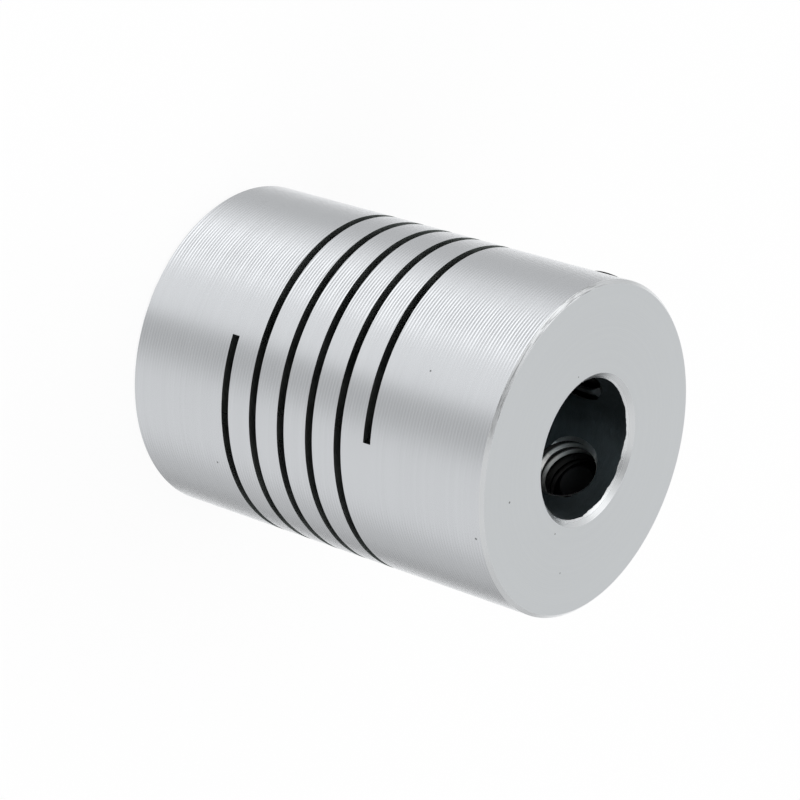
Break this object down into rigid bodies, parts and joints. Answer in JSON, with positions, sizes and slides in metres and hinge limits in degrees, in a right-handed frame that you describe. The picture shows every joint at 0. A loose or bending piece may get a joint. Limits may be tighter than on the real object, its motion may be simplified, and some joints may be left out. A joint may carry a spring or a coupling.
{
  "type": "shaft coupling",
  "caption": "Flexible helical beam shaft coupling: a short metal cylinder with a stepped bore, a helical slit round its middle and two set screws near each end.",
  "frame": {"origin": "centre of the lower end face, on the shafts' axis", "axes": "+Z along the shafts' axis from the smaller bore's end to the larger bore's end, +X and +Y through the two set screws of each pair"},
  "size_m": [0.019, 0.0192, 0.025],
  "materials": {
    "turned_aluminium": "bright turned, with fine lines round the axis",
    "black_oxide_steel": "black oxide, slightly oiled"
  },
  "bodies": {
    "root": {"coupling_body": "turned_aluminium", "upper_set_screw_x": "black_oxide_steel", "upper_set_screw_y": "black_oxide_steel", "lower_set_screw_x": "black_oxide_steel", "lower_set_screw_y": "black_oxide_steel"}
  },
  "joints": []
}
